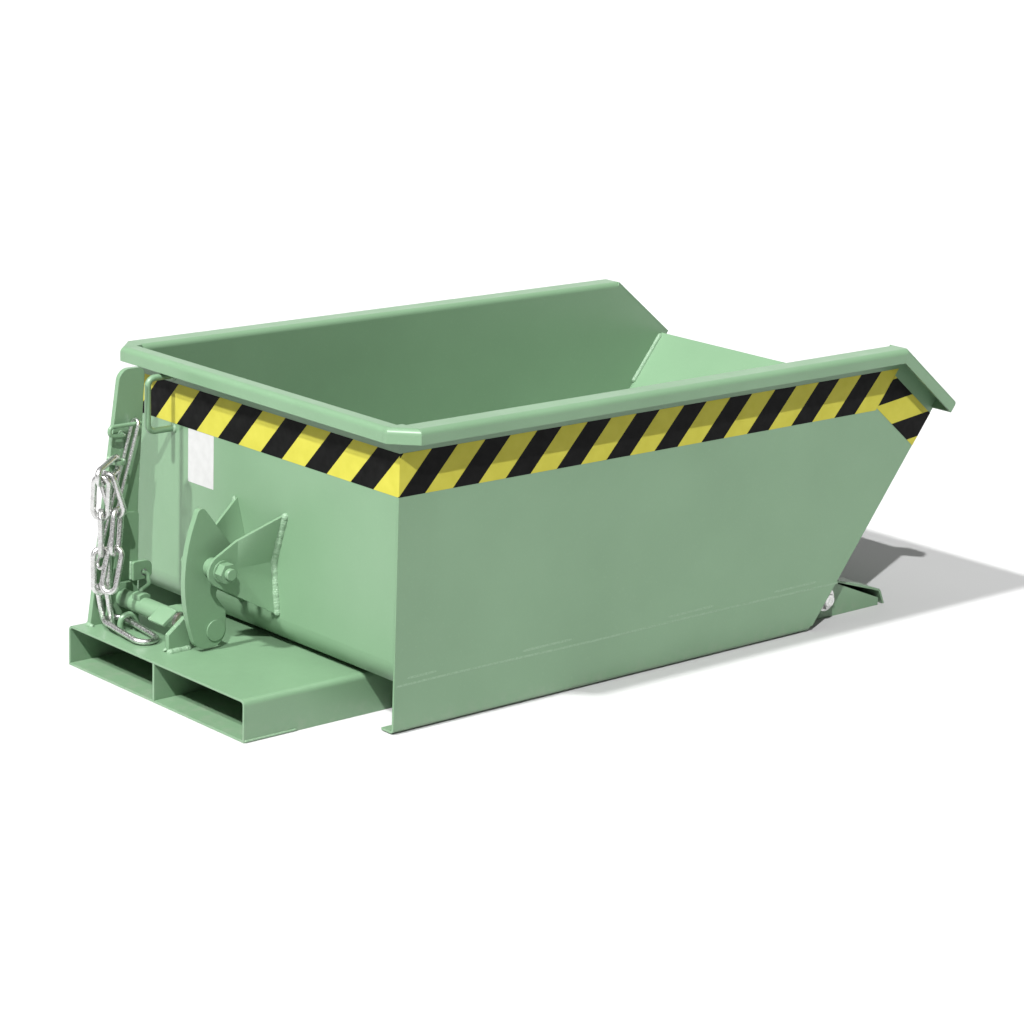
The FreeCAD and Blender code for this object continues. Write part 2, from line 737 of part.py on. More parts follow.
def around_tube(shape):
    return shape.cut(bar_y(shaft_x, shaft_z, shaft_tube_radius, -rim_half, rim_half))


def keeper_block():
    """Saddle block on the tube's crown, under the keeper hook's tail; its top is round about the shaft."""
    half = keeper_block_width / 2
    near, far = keeper_block_span
    saddle = ring_y(shaft_x, shaft_z, keeper_block_radius, shaft_tube_radius, near, far)
    crown = box((shaft_x - half, near, shaft_z), (shaft_x + half, far, shaft_z + keeper_block_radius + 1))
    return saddle.common(crown)


def foot_pedal():
    """Pedal plate: lies against the tube's crown and slopes down to the rear."""
    slope = math.radians(pedal_slope)
    outward = (-math.sin(slope), math.cos(slope))
    rearward = (-math.cos(slope), -math.sin(slope))
    crown = along((shaft_x, shaft_z), outward, shaft_tube_radius + pedal_lift)
    front = along(crown, rearward, -pedal_front)
    end = along(crown, rearward, pedal_run)
    points = [front, end, along(end, outward, -pedal_thickness), along(front, outward, -pedal_thickness)]
    return around_tube(plate(points, pedal_span, "y", [0, 1.5, 1.5, 0]))


def catch_tongue():
    """Catch tongue: reaches forward from the tube, over the path of the hook's pin."""
    low, high = tongue_level
    points = [shaft_spot((0, low)), shaft_spot((tongue_reach, low)), shaft_spot((tongue_reach, high)),
              shaft_spot((0, high))]
    return around_tube(plate(points, pedal_span, "y", [0, 2, 2, 0]))


def rear_post():
    return plate(post_outline, (post_near_y, post_near_y + post_thickness), "y", post_radii)


def foot_plate():
    return plate(foot_plate_outline, (foot_plate_near_y, post_near_y), "y", [0, 6, 6, 0])


def keeper_lug():
    span = (foot_plate_near_y - keeper_lug_thickness, foot_plate_near_y)
    lug = plate(keeper_lug_outline, span, "y", [0, 4, 12, 4, 0])
    return lug.cut(bar_y(keeper_hole_at[0], keeper_hole_at[1], keeper_hole_diameter / 2, 0, rim_half))


def keeper_hook():
    """Bent rod hung in the lug's hole; its tail curves round to lie on the shaft's block."""
    x, z = keeper_hole_at
    front_y = foot_plate_near_y - keeper_lug_thickness
    tail_z = shaft_z + keeper_block_radius + keeper_rod / 2 + keeper_rest
    points = [V(x, foot_plate_near_y + keeper_rod * 2, z), V(x, front_y - keeper_reach, z),
              V(keeper_turn_at[0], keeper_turn_at[1], tail_z), V(shaft_x, keeper_tail_y, tail_z)]
    return bent_rod(points, keeper_rod, [12, 14])


def chain_lug():
    """Level eye plate on the post's near face for the chain's first link."""
    half = chain_lug_width / 2
    low = chain_lug_z - chain_lug_thickness / 2
    near = post_near_y - chain_lug_reach
    points = [(chain_lug_x - half, post_near_y), (chain_lug_x - half, near), (chain_lug_x + half, near),
              (chain_lug_x + half, post_near_y)]
    lug = plate(points, (low, low + chain_lug_thickness), "z", [0, half - 0.5, half - 0.5, 0])
    hole_y = near + chain_lug_edge + chain_lug_hole_diameter / 2
    hole_foot = V(chain_lug_x, hole_y, low)
    return lug.cut(Part.makeCylinder(chain_lug_hole_diameter / 2, chain_lug_thickness, hole_foot))


def loop_hanger():
    """Hairpin rod on the post: upper limb carries the pull loop, lower limb turns into the post."""
    turn = hanger_gap / 2
    rear = hanger_rear_x
    back = V(rear - turn, hanger_y, hanger_z)
    points = [V(hanger_front_x, hanger_y, hanger_z), back, V(rear - turn, hanger_y, hanger_z - hanger_gap),
              V(hanger_turn_x, hanger_y, hanger_z - hanger_gap - 3),
              V(hanger_turn_x, post_near_y, hanger_z - hanger_gap - 3)]
    return bent_rod(points, hanger_rod, [turn - 0.2, turn - 0.2, hanger_rod])


def pull_loop():
    """Long narrow loop hung on the hanger's upper limb, leaning to the rear."""
    lean = math.radians(loop_lean)
    axis = V(-math.sin(lean), 0, -math.cos(lean))
    half_run = loop_length / 2 - loop_radius - loop_rod / 2
    top = V(hanger_front_x - 10, hanger_y, hanger_z + hanger_rod / 2 + loop_rod / 2 + loop_rest)
    centre = top + axis * (half_run + loop_radius)
    return oblong_link(centre, axis, V(0, 1, 0), half_run, loop_radius, loop_rod)


def linked(arc, axis, wide, run):
    """Links that follow a link with the given end arc: each is hooked into the one before it."""
    radius = (chain_inner_width + chain_rod) / 2
    half_run = (chain_inner_length - chain_inner_width) / 2
    solids = []
    for x, y, z, twist in run:
        ahead = V(x, y, z).normalize()
        side = axis.cross(wide)
        across = (side - ahead * side.dot(ahead)).normalize()
        across = FreeCAD.Rotation(ahead, twist).multVec(across)
        normal = ahead.cross(across)
        inner = (ahead - side * ahead.dot(side)).normalize()
        outer = axis - normal * axis.dot(normal)
        outer = outer.normalize() if outer.Length > 0.3 else ahead
        contact = (inner + outer).normalize()
        start = arc + (inner + outer) * radius - contact * (chain_rod + chain_slack)
        solids.append(oblong_link(start + ahead * half_run, ahead, across, half_run, radius, chain_rod))
        arc = start + ahead * (2 * half_run)
        axis = ahead
        wide = across
    return solids


def securing_chain():
    """Chain from the lug down to the oblong end link, with a loose tail hung from its first link."""
    radius = (chain_inner_width + chain_rod) / 2
    half_run = (chain_inner_length - chain_inner_width) / 2
    axis = V(*chain_links[0][:3]).normalize()
    wide = (V(0, 0, 1) - axis * axis.z).normalize()
    hole_y = post_near_y - chain_lug_reach + chain_lug_edge + chain_lug_hole_diameter / 2
    centre = V(chain_lug_x, hole_y, chain_lug_z) + axis * (radius + half_run)
    end = centre + axis * half_run
    first = oblong_link(centre, axis, wide, half_run, radius, chain_rod)
    run = linked(end, axis, wide, chain_links[1:])
    tail = linked(end - axis * chain_tail_back, axis, wide, chain_tail_links)
    return Part.makeCompound([first] + run + tail)


def chain_staple():
    """Bent rod welded to the base, over one rod of the oblong end link."""
    turn = math.radians(staple_turn)
    across = V(math.cos(turn), math.sin(turn), 0) * staple_radius
    foot = V(staple_at[0], staple_at[1], base_height)
    shoulder = foot + V(0, 0, staple_height)
    crown = shoulder + V(0, 0, staple_radius)
    edges = [Part.LineSegment(foot - across, shoulder - across).toShape(),
             Part.Arc(shoulder - across, crown, shoulder + across).toShape(),
             Part.LineSegment(shoulder + across, foot + across).toShape()]
    section = Part.Wire([Part.Circle(foot - across, V(0, 0, 1), staple_rod / 2).toShape()])
    return Part.Wire(edges).makePipeShell([section], True, False)


def end_link():
    """Oblong link under the staple: its near end lies on the base, its far end on the chain."""
    half_run = end_link_length / 2 - end_link_radius
    tilt = math.radians(end_link_tilt)
    lift = end_link_rod / 2 + end_link_near_gap + math.sin(tilt) * end_link_length / 2
    centre = V(end_link_at[0], end_link_at[1], base_height + lift)
    axis = V(0, math.cos(tilt), math.sin(tilt))
    return oblong_link(centre, axis, V(1, 0, 0), half_run, end_link_radius, end_link_rod)


def handle_bar():
    """Bent round bar on the rear wall: two legs to the wall and an upright grip."""
    grip_x = rear_wall_x - handle_reach
    points = [V(rear_wall_x, handle_y, handle_bottom_z), V(grip_x, handle_y, handle_bottom_z),
              V(grip_x, handle_y, handle_top_z), V(rear_wall_x, handle_y, handle_top_z)]
    return bent_rod(points, handle_rod, [handle_bend, handle_bend])


def both_sides(shape):
    return Part.makeCompound([shape, mirrored(shape)])


parts = {
    "pocket_cover": pocket_cover(),
    "pocket_floor": pocket_floor(),
    "pocket_divider": pocket_divider(),
    "fork_stop": fork_stop(),
    "wedge_sheet": wedge_sheet(),
    "wedge_side_left": wedge_side(),
    "wedge_side_right": mirrored(wedge_side()),
    "pivot_pins": both_sides(pivot_pin()),
    "pivot_washers": both_sides(pivot_washer()),
    "split_pins": both_sides(split_pin()),
    "rear_post": rear_post(),
    "post_foot_plate": foot_plate(),
    "chain_lug": chain_lug(),
    "loop_hanger": loop_hanger(),
    "pull_loop": pull_loop(),
    "securing_chain": securing_chain(),
    "chain_staple": chain_staple(),
    "end_link": end_link(),
    "shaft_gusset_near": near_gusset(),
    "shaft_bracket_far": far_bracket(),
    "shaft_journals": shaft_journals(),
    "keeper_lug": keeper_lug(),
    "keeper_hook": keeper_hook(),
    "trough_sheet": trough_body(),
    "side_plate_left": side_plate(),
    "side_plate_right": mirrored(side_plate()),
    "rim_corner_left": rim_corner(),
    "rim_corner_right": mirrored(rim_corner()),
    "front_rim_left": front_rim(),
    "front_rim_right": mirrored(front_rim()),
    "rim_end_caps": both_sides(rim_end_cap()),
    "pivot_ear_left": pivot_ear(),
    "pivot_ear_right": mirrored(pivot_ear()),
    "pivot_bushes": both_sides(pivot_bush()),
    "hook_bracket_left": hook_bracket(),
    "hook_bracket_right": mirrored(hook_bracket()),
    "hook_bolt": hook_bolt(),
    "hook_nut": hook_nut(),
    "hook_washers": both_sides(hook_washer()),
    "hook_spacers": both_sides(hook_spacer()),
    "handle_bar": handle_bar(),
    "latch_hook": latch_hook(),
    "hook_pin": hook_pin(),
    "shaft_tube": shaft_tube(),
    "keeper_block": keeper_block(),
    "foot_pedal": foot_pedal(),
    "catch_tongue": catch_tongue(),
}

os.makedirs("parts", exist_ok=True)
for name, shape in parts.items():
    shape.exportStep("parts/" + name + ".step")
    print(name, shape.isValid(), len(shape.Solids), round(shape.Volume), shape.BoundBox)
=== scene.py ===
import json
import math

import bpy
import numpy as np
from mathutils import Matrix, Vector


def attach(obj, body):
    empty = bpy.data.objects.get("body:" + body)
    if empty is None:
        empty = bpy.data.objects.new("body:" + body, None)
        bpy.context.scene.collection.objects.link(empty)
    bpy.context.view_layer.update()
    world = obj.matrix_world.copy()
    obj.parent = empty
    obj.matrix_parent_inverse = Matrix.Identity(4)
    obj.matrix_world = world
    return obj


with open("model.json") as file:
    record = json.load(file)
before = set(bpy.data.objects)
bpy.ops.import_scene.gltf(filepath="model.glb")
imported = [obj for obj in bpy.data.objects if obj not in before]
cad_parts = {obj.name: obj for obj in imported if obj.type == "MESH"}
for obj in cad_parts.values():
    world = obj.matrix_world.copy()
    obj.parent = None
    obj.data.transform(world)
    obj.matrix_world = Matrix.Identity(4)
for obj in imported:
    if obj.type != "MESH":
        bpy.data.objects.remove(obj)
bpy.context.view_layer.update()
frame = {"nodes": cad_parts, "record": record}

MM = 0.001
SIDES = (("right", -1), ("left", 1))

# Places on the skip, in millimetres in the skip's own frame
REAR_WALL_X = -530.5
SIDE_Y = 356.0
SIDE_INNER_Y = 352.0
BASE_TOP_Z = 70.0
BASE_SIDE_Y = 247.0
POST_NEAR_Y = 220.0
POST_FAR_Y = 230.0
FOOT_PLATE_NEAR_Y = 212.0
RIM_MITRE = (602.0, 506.0)
CHUTE_ANGLE = math.radians(51.6)
CHUTE_LIP = (723.9, 392.7)

# Hazard tape
TAPE_LOW_Z = 390.0
TAPE_WIDTH = 70.0
TAPE_THICKNESS = 0.3
TAPE_STEP = 60.0
BLACK_SHARE = 0.485
REAR_STRIPE_PERIOD = 118.5
REAR_STRIPE_START = 238.5
REAR_STRIPE_LEAN = -0.94
SIDE_STRIPE_PERIOD = 110.35
SIDE_STRIPE_START = 461.7
SIDE_STRIPE_LEAN = -0.924
SIDE_TAPE_END = 571.0
SIDE_TAPE_SLANT = 0.79
SLOPE_STRIPE_PERIOD = 116.5
SLOPE_STRIPE_START = 208.6
SLOPE_STRIPE_LEAN = 1.0
SLOPE_TAPE_DEPTH = 36.0
SLOPE_TAPE_START = 48.0
SLOPE_TAPE_END = 180.0

# Blank label on the rear wall
LABEL_SPAN_Y = (132.0, 205.0)
LABEL_SPAN_Z = (297.5, 389.5)
LABEL_THICKNESS = 0.25
LABEL_CORNER = 1.5
LABEL_POINTS = 48

# Weld beads: the length of one scale, the step between stations, and the points across the half-round
BEAD_PITCH = 3.2
BEAD_STEP = 0.8
BEAD_LEAST_STATIONS = 8
BEAD_PROFILE_POINTS = 9
RING_POINTS = 40

# A bead's radius as shares of its leg: the plain part, the scallop, the wander, and the least at its ends
BEAD_PLAIN = 0.90
BEAD_SCALLOP = 0.06
BEAD_WANDER = 0.08
BEAD_TIP = 0.02

# Lengths of the wander's two waves, and how far crown and wander shift the scallops, in pitches
WANDER_LONG = 7.3
WANDER_SHORT = 2.9
CROWN_LAG = 0.45
WANDER_LAG = 0.6

# Beads on both sides: where they run, their legs and their pitches
HOOK_BRACKET_EDGE = ((70.0, 302.0), (38.8, 213.0), (51.0, 122.0))
HOOK_BRACKET_LEG = 7.5
HOOK_BRACKET_PITCH = 5.5
CHUTE_WELD_SPAN = (3.0, 120.0)
CHUTE_WELD_LEG = 6.0
CHUTE_WELD_PITCH = 5.0
BASE_WELD_SPAN_X = (-742.0, -640.0)
BASE_WELD_Z = 2.6
BASE_WELD_LEG = 2.4

# Straight beads on the base frame: name, start, end, outward direction, leg, pitch
BASE_WELDS = (
    ("weld_gusset_near", (-701.0, 22.0, BASE_TOP_Z), (-653.0, 22.0, BASE_TOP_Z),
     (0.0, -1.0, 1.0), 7.0, 5.0),
    ("weld_gusset_far", (-701.0, 32.0, BASE_TOP_Z), (-653.0, 32.0, BASE_TOP_Z),
     (0.0, 1.0, 1.0), 7.0, 5.0),
    ("weld_bracket_foot", (-696.0, 202.0, BASE_TOP_Z), (-632.0, 202.0, BASE_TOP_Z),
     (0.0, -1.0, 1.0), 5.0, BEAD_PITCH),
    ("weld_post_foot", (-719.0, POST_FAR_Y, BASE_TOP_Z), (-629.0, POST_FAR_Y, BASE_TOP_Z),
     (0.0, 1.0, 1.0), 6.0, BEAD_PITCH),
    ("weld_post_heel", (-718.0, FOOT_PLATE_NEAR_Y, BASE_TOP_Z), (-718.0, 231.0, BASE_TOP_Z),
     (-1.0, 0.0, 1.0), 5.0, BEAD_PITCH),
    ("weld_keeper_lug", (-642.0, FOOT_PLATE_NEAR_Y, 139.0), (-642.0, FOOT_PLATE_NEAR_Y, 173.0),
     (-1.0, -1.0, 0.0), 3.5, BEAD_PITCH),
    ("weld_chain_lug_top", (-685.0, POST_NEAR_Y, 354.5), (-661.0, POST_NEAR_Y, 354.5),
     (0.0, -1.0, 1.0), 4.0, BEAD_PITCH),
    ("weld_chain_lug_under", (-685.0, POST_NEAR_Y, 347.5), (-661.0, POST_NEAR_Y, 347.5),
     (0.0, -1.0, -1.0), 4.0, BEAD_PITCH),
)

# Beads round a rod's end: name, centre, direction of the rod, radius, leg, body
RING_WELDS = (
    ("weld_hanger", (-657.0, POST_NEAR_Y, 393.0), (0.0, -1.0, 0.0), 3.5, 2.6, "base_frame"),
    ("weld_staple_near", (-663.65, 163.91, BASE_TOP_Z), (0.0, 0.0, 1.0), 5.0, 3.4, "base_frame"),
    ("weld_staple_far", (-693.35, 168.09, BASE_TOP_Z), (0.0, 0.0, 1.0), 5.0, 3.4, "base_frame"),
    ("weld_handle_low", (REAR_WALL_X, 249.0, 381.0), (-1.0, 0.0, 0.0), 5.5, 4.2, "trough"),
    ("weld_handle_top", (REAR_WALL_X, 249.0, 473.0), (-1.0, 0.0, 0.0), 5.5, 4.2, "trough"),
)

# Faint ridges on the side plates where the floor's welds show through
SEAM_Z = 80.5
SEAM_RISE = 1.0
SEAM_SPAN_X = (-529.0, 500.0)
SEAM_WIDTH = 5.0
SEAM_HEIGHT = 0.14
STITCH_ABOVE = 10.5
STITCH_SPANS_X = ((-507.0, -440.0), (-263.0, -148.0), (70.0, 185.0), (330.0, 445.0))
STITCH_WIDTH = 6.0
STITCH_HEIGHT = 0.10
RIDGE_SINK = 0.02
RIDGE_FADE = 12.0
RIDGE_TIP = 0.05
RIDGE_STEP = 4.0
RIDGE_PROFILE_POINTS = 9

# A ridge's slow swell: its mean and its reach as shares of the height, and its two wave lengths
SWELL_MEAN = 0.8
SWELL_REACH = 0.2
SWELL_LONG = 31.0
SWELL_SHORT = 13.0

# A ridge's waver from side to side
WAVER_REACH = 0.8
WAVER_LENGTH = 90.0

# Camera and studio, in metres
CAMERA_PLACE = (-3.3710, -3.7882, 1.5545)
CAMERA_RIGHT = (0.7501, -0.6605, 0.0334)
CAMERA_AHEAD = (0.6452, 0.7197, -0.2564)
CAMERA_LENS = 104.33
CAMERA_SENSOR = 36.0
CAMERA_REACH = 200.0
FLOOR_HALF = 40.0
FLOOR_GREY = 0.50
WORLD_STRENGTH = 0.28

# Parallel lights: name, strength, spread in degrees, direction of shining
SUNS = (
    ("key_light", 3.6, 1.0, (1.0, 1.0, -1.45)),
    ("top_light", 0.2, 40.0, (0.10, -0.20, -0.97)),
    ("rear_light", 4.5, 3.0, (1.0, 0.0, -1.20)),
)

# Soft light behind the skip
PANEL_POWER = 22.0
PANEL_SIZE = (5.0, 1.6)
PANEL_PLACE = (3.0, 3.4, 1.9)
PANEL_TOWARDS = (-3.0, -3.4, -1.6)

# Directions on the sloped front: down along the rim, square to it, and into the trough
rim_down = np.array([math.sin(CHUTE_ANGLE), 0.0, -math.cos(CHUTE_ANGLE)])
chute_up = np.array([math.cos(CHUTE_ANGLE), 0.0, math.sin(CHUTE_ANGLE)])
chute_in = -rim_down


def unit(vector):
    """The vector divided by its length."""
    vector = np.asarray(vector, float)
    return vector / np.linalg.norm(vector)


def grid_faces(rows, columns, wrap_rows, wrap_columns):
    """Quads between neighbours of a grid of points, closed round either way where it wraps."""
    i = np.arange(rows if wrap_rows else rows - 1)[:, None]
    j = np.arange(columns if wrap_columns else columns - 1)[None, :]
    i_next = (i + 1) % rows
    j_next = (j + 1) % columns
    corners = [i * columns + j, i_next * columns + j, i_next * columns + j_next, i * columns + j_next]
    return np.stack([corner + 0 * i + 0 * j for corner in corners], axis=-1).reshape(-1, 4)


def swept(section_points, wrap_path=False):
    """Closed skin over sections given as (stations, points round the section, 3), with flat ends."""
    stations, count, _ = section_points.shape
    faces = grid_faces(stations, count, wrap_path, True).tolist()
    if not wrap_path:
        faces.append(list(range(count)))
        faces.append([(stations - 1) * count + k for k in reversed(range(count))])
    return section_points.reshape(-1, 3), faces


def piece(name, points, faces, material, body, stripes=None, smooth=True):
    """A mesh of the given points, in millimetres, that rides on a body."""
    mesh = bpy.data.meshes.new(name)
    mesh.from_pydata((np.asarray(points) * MM).tolist(), [], [list(face) for face in faces])
    mesh.materials.append(material)
    mesh.polygons.foreach_set("use_smooth", np.full(len(mesh.polygons), smooth))
    if stripes is not None:
        loops = np.zeros(len(mesh.loops), int)
        mesh.loops.foreach_get("vertex_index", loops)
        layer = mesh.uv_layers.new(name="stripes")
        layer.data.foreach_set("uv", np.asarray(stripes, np.float32)[loops].ravel())
    mesh.update()
    made = bpy.data.objects.new(name, mesh)
    bpy.context.scene.collection.objects.link(made)
    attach(made, body)
    return made


def new_material(name):
    """A material with its nodes, its links and its shader."""
    material = bpy.data.materials.new(name)
    material.use_nodes = True
    nodes = material.node_tree.nodes
    return material, nodes, material.node_tree.links, nodes["Principled BSDF"]


def object_place(nodes):
    """Place on the skip, in metres."""
    return nodes.new("ShaderNodeTexCoord").outputs["Object"]


def noise(nodes, links, place, scale, detail, rough=0.5):
    """Clouded value about a half."""
    made = nodes.new("ShaderNodeTexNoise")
    made.inputs["Scale"].default_value = scale
    made.inputs["Detail"].default_value = detail
    made.inputs["Roughness"].default_value = rough
    links.new(place, made.inputs["Vector"])
    return made.outputs["Fac"]


def remap(nodes, links, value, span, to=(0.0, 1.0)):
    """Value stretched from one span to another."""
    made = nodes.new("ShaderNodeMapRange")
    made.inputs["From Min"].default_value = span[0]
    made.inputs["From Max"].default_value = span[1]
    made.inputs["To Min"].default_value = to[0]
    made.inputs["To Max"].default_value = to[1]
    links.new(value, made.inputs["Value"])
    return made.outputs["Result"]


def clouds(nodes, links, place, scale, detail, span=(0.3, 0.7), to=(0.0, 1.0), rough=0.5):
    """Noise stretched to a range."""
    return remap(nodes, links, noise(nodes, links, place, scale, detail, rough), span, to)


def mixed(nodes, links, factor, first, second):
    """Colour between two colours or colour outputs, by a factor."""
    made = nodes.new("ShaderNodeMix")
    made.data_type = "RGBA"
    links.new(factor, made.inputs["Factor"])
    for socket, colour in ((made.inputs["A"], first), (made.inputs["B"], second)):
        if isinstance(colour, tuple):
            socket.default_value = (*colour, 1.0)
        else:
            links.new(colour, socket)
    return made.outputs["Result"]


def bumped(nodes, links, shader, height, distance, strength, under=None):
    """Small relief on the shader, over the normal that lies under it."""
    made = nodes.new("ShaderNodeBump")
    made.inputs["Strength"].default_value = strength
    made.inputs["Distance"].default_value = distance
    links.new(height, made.inputs["Height"])
    if under:
        links.new(under, made.inputs["Normal"])
    links.new(made.outputs["Normal"], shader.inputs["Normal"])


def green_paint():
    """Sprayed reseda-green enamel: cloudy tone, flecks, fine orange peel, rounded edges, dust below."""
    material, nodes, links, shader = new_material("green_paint")
    place = object_place(nodes)
    cloud = clouds(nodes, links, place, scale=5.0, detail=4.0)
    tone = mixed(nodes, links, cloud, (0.139, 0.241, 0.141), (0.153, 0.262, 0.155))
    fleck = clouds(nodes, links, place, scale=260.0, detail=2.0, span=(0.62, 0.72), to=(0.0, 0.35))
    tone = mixed(nodes, links, fleck, tone, (0.172, 0.286, 0.174))
    split = nodes.new("ShaderNodeSeparateXYZ")
    links.new(place, split.inputs["Vector"])
    near_floor = remap(nodes, links, split.outputs["Z"], span=(0.0, 0.035), to=(1.0, 0.0))
    patch = clouds(nodes, links, place, scale=45.0, detail=5.0, span=(0.45, 0.7), to=(0.0, 0.55), rough=0.65)
    dust = nodes.new("ShaderNodeMath")
    dust.operation = "MULTIPLY"
    links.new(near_floor, dust.inputs[0])
    links.new(patch, dust.inputs[1])
    tone = mixed(nodes, links, dust.outputs["Value"], tone, (0.22, 0.27, 0.20))
    links.new(tone, shader.inputs["Base Color"])
    gloss = clouds(nodes, links, place, scale=14.0, detail=3.0, to=(0.34, 0.46))
    links.new(gloss, shader.inputs["Roughness"])
    shader.inputs["Specular IOR Level"].default_value = 0.5
    shader.inputs["Coat Weight"].default_value = 0.15
    shader.inputs["Coat Roughness"].default_value = 0.2
    edge = nodes.new("ShaderNodeBevel")
    edge.samples = 4
    edge.inputs["Radius"].default_value = 0.0015
    peel = noise(nodes, links, place, scale=420.0, detail=2.0)
    bumped(nodes, links, shader, peel, distance=0.0004, strength=0.12, under=edge.outputs["Normal"])
    return material


def weld_paint():
    """The same enamel over a weld, paler in patches and with a rougher skin."""
    material, nodes, links, shader = new_material("weld_paint")
    place = object_place(nodes)
    cloud = clouds(nodes, links, place, scale=300.0, detail=4.0, span=(0.35, 0.7))
    tone = mixed(nodes, links, cloud, (0.160, 0.268, 0.162), (0.225, 0.335, 0.226))
    links.new(tone, shader.inputs["Base Color"])
    shader.inputs["Roughness"].default_value = 0.42
    lumps = noise(nodes, links, place, scale=330.0, detail=4.0, rough=0.6)
    bumped(nodes, links, shader, lumps, distance=0.002, strength=0.7)
    return material


def zinc_plate():
    """Bright zinc plate on chain and wire, lightly clouded."""
    material, nodes, links, shader = new_material("zinc")
    place = object_place(nodes)
    cloud = clouds(nodes, links, place, scale=160.0, detail=4.0, span=(0.35, 0.7))
    tone = mixed(nodes, links, cloud, (0.60, 0.60, 0.59), (0.80, 0.80, 0.79))
    links.new(tone, shader.inputs["Base Color"])
    shader.inputs["Metallic"].default_value = 1.0
    gloss = clouds(nodes, links, place, scale=420.0, detail=3.0, to=(0.2, 0.42))
    links.new(gloss, shader.inputs["Roughness"])
    grain = noise(nodes, links, place, scale=700.0, detail=2.0)
    bumped(nodes, links, shader, grain, distance=0.0006, strength=0.15)
    return material


def worn_steel():
    """Bare steel worn bright in use, with brown staining."""
    material, nodes, links, shader = new_material("bare_steel")
    place = object_place(nodes)
    stain = clouds(nodes, links, place, scale=120.0, detail=5.0, span=(0.4, 0.7))
    tone = mixed(nodes, links, stain, (0.46, 0.45, 0.43), (0.22, 0.17, 0.13))
    links.new(tone, shader.inputs["Base Color"])
    shader.inputs["Metallic"].default_value = 1.0
    gloss = remap(nodes, links, stain, span=(0.0, 1.0), to=(0.3, 0.6))
    links.new(gloss, shader.inputs["Roughness"])
    return material


def bush_bronze():
    """Turned bronze of slightly uneven tone."""
    material, nodes, links, shader = new_material("bronze")
    cloud = clouds(nodes, links, object_place(nodes), scale=200.0, detail=3.0)
    tone = mixed(nodes, links, cloud, (0.42, 0.27, 0.11), (0.56, 0.38, 0.17))
    links.new(tone, shader.inputs["Base Color"])
    shader.inputs["Metallic"].default_value = 1.0
    shader.inputs["Roughness"].default_value = 0.34
    return material


def hazard_stripes():
    """Yellow film, black where the fraction of the stripe coordinate is under the black share."""
    material, nodes, links, shader = new_material("hazard_film")
    stripes = nodes.new("ShaderNodeUVMap")
    stripes.uv_map = "stripes"
    split = nodes.new("ShaderNodeSeparateXYZ")
    links.new(stripes.outputs["UV"], split.inputs["Vector"])
    part = nodes.new("ShaderNodeMath")
    part.operation = "FRACT"
    links.new(split.outputs["X"], part.inputs[0])
    black = nodes.new("ShaderNodeMath")
    black.operation = "LESS_THAN"
    black.inputs[1].default_value = BLACK_SHARE
    links.new(part.outputs["Value"], black.inputs[0])
    place = object_place(nodes)
    cloud = clouds(nodes, links, place, scale=40.0, detail=4.0)
    yellow = mixed(nodes, links, cloud, (0.40, 0.372, 0.050), (0.44, 0.41, 0.060))
    dark = mixed(nodes, links, cloud, (0.003, 0.003, 0.003), (0.006, 0.006, 0.006))
    tone = mixed(nodes, links, black.outputs["Value"], yellow, dark)
    links.new(tone, shader.inputs["Base Color"])
    gloss = clouds(nodes, links, place, scale=90.0, detail=3.0, to=(0.45, 0.6))
    links.new(gloss, shader.inputs["Roughness"])
    shader.inputs["Specular IOR Level"].default_value = 0.08
    return material


def label_film():
    """White blank film with a faint tooth."""
    material, nodes, links, shader = new_material("label_film")
    place = object_place(nodes)
    cloud = clouds(nodes, links, place, scale=70.0, detail=4.0)
    tone = mixed(nodes, links, cloud, (0.43, 0.43, 0.425), (0.47, 0.47, 0.465))
    links.new(tone, shader.inputs["Base Color"])
    shader.inputs["Roughness"].default_value = 0.5
    tooth = noise(nodes, links, place, scale=500.0, detail=2.0)
    bumped(nodes, links, shader, tooth, distance=0.0003, strength=0.1)
    return material


weld = weld_paint()
film = hazard_stripes()
blank = label_film()

finishes = {
    "green_paint": green_paint(),
    "zinc": zinc_plate(),
    "bare_steel": worn_steel(),
    "bronze": bush_bronze(),
}
for entry in frame["record"]["subparts"]:
    node = frame["nodes"][entry["node"]]
    node.data.materials.clear()
    node.data.materials.append(finishes[entry["material_slot"]])


def tape(name, corner, along, across, outward, length, start, lean, period, lift=0.0, slant=0.0):
    """Strip of film: a thin rectangle carried along a line, its far end cut at a slant.

    The stripe coordinate is the distance along plus lean times the distance across.
    Where along, across and outward make a left-handed set, the faces are turned round to point outwards.
    """
    along, across, outward = unit(along), unit(across), unit(outward)
    share = np.linspace(0.0, 1.0, 2 + int(length / TAPE_STEP))
    top = lift + TAPE_THICKNESS
    profile = np.array([(0.0, lift), (0.0, top), (TAPE_WIDTH, top), (TAPE_WIDTH, lift)])
    width = profile[None, :, 0]
    stations = share[:, None] * (length + slant * width)
    points = np.asarray(corner, float) + stations[..., None] * along
    points = points + width[..., None] * across + profile[None, :, 1, None] * outward
    coordinate = (stations + lean * width + start) / period
    stripes = np.stack([coordinate, np.broadcast_to(width / TAPE_WIDTH, coordinate.shape)], axis=-1)
    points, faces = swept(points)
    if np.dot(np.cross(along, across), outward) < 0.0:
        faces = [face[::-1] for face in faces]
    return piece(name, points, faces, film, "trough", stripes=stripes.reshape(-1, 2), smooth=False)


def on_slope(down, depth, y):
    """Point below the sloped rim: so far down along it from the mitre, and so deep below its top line."""
    return np.array([RIM_MITRE[0], y, RIM_MITRE[1]]) + down * rim_down - depth * chute_up


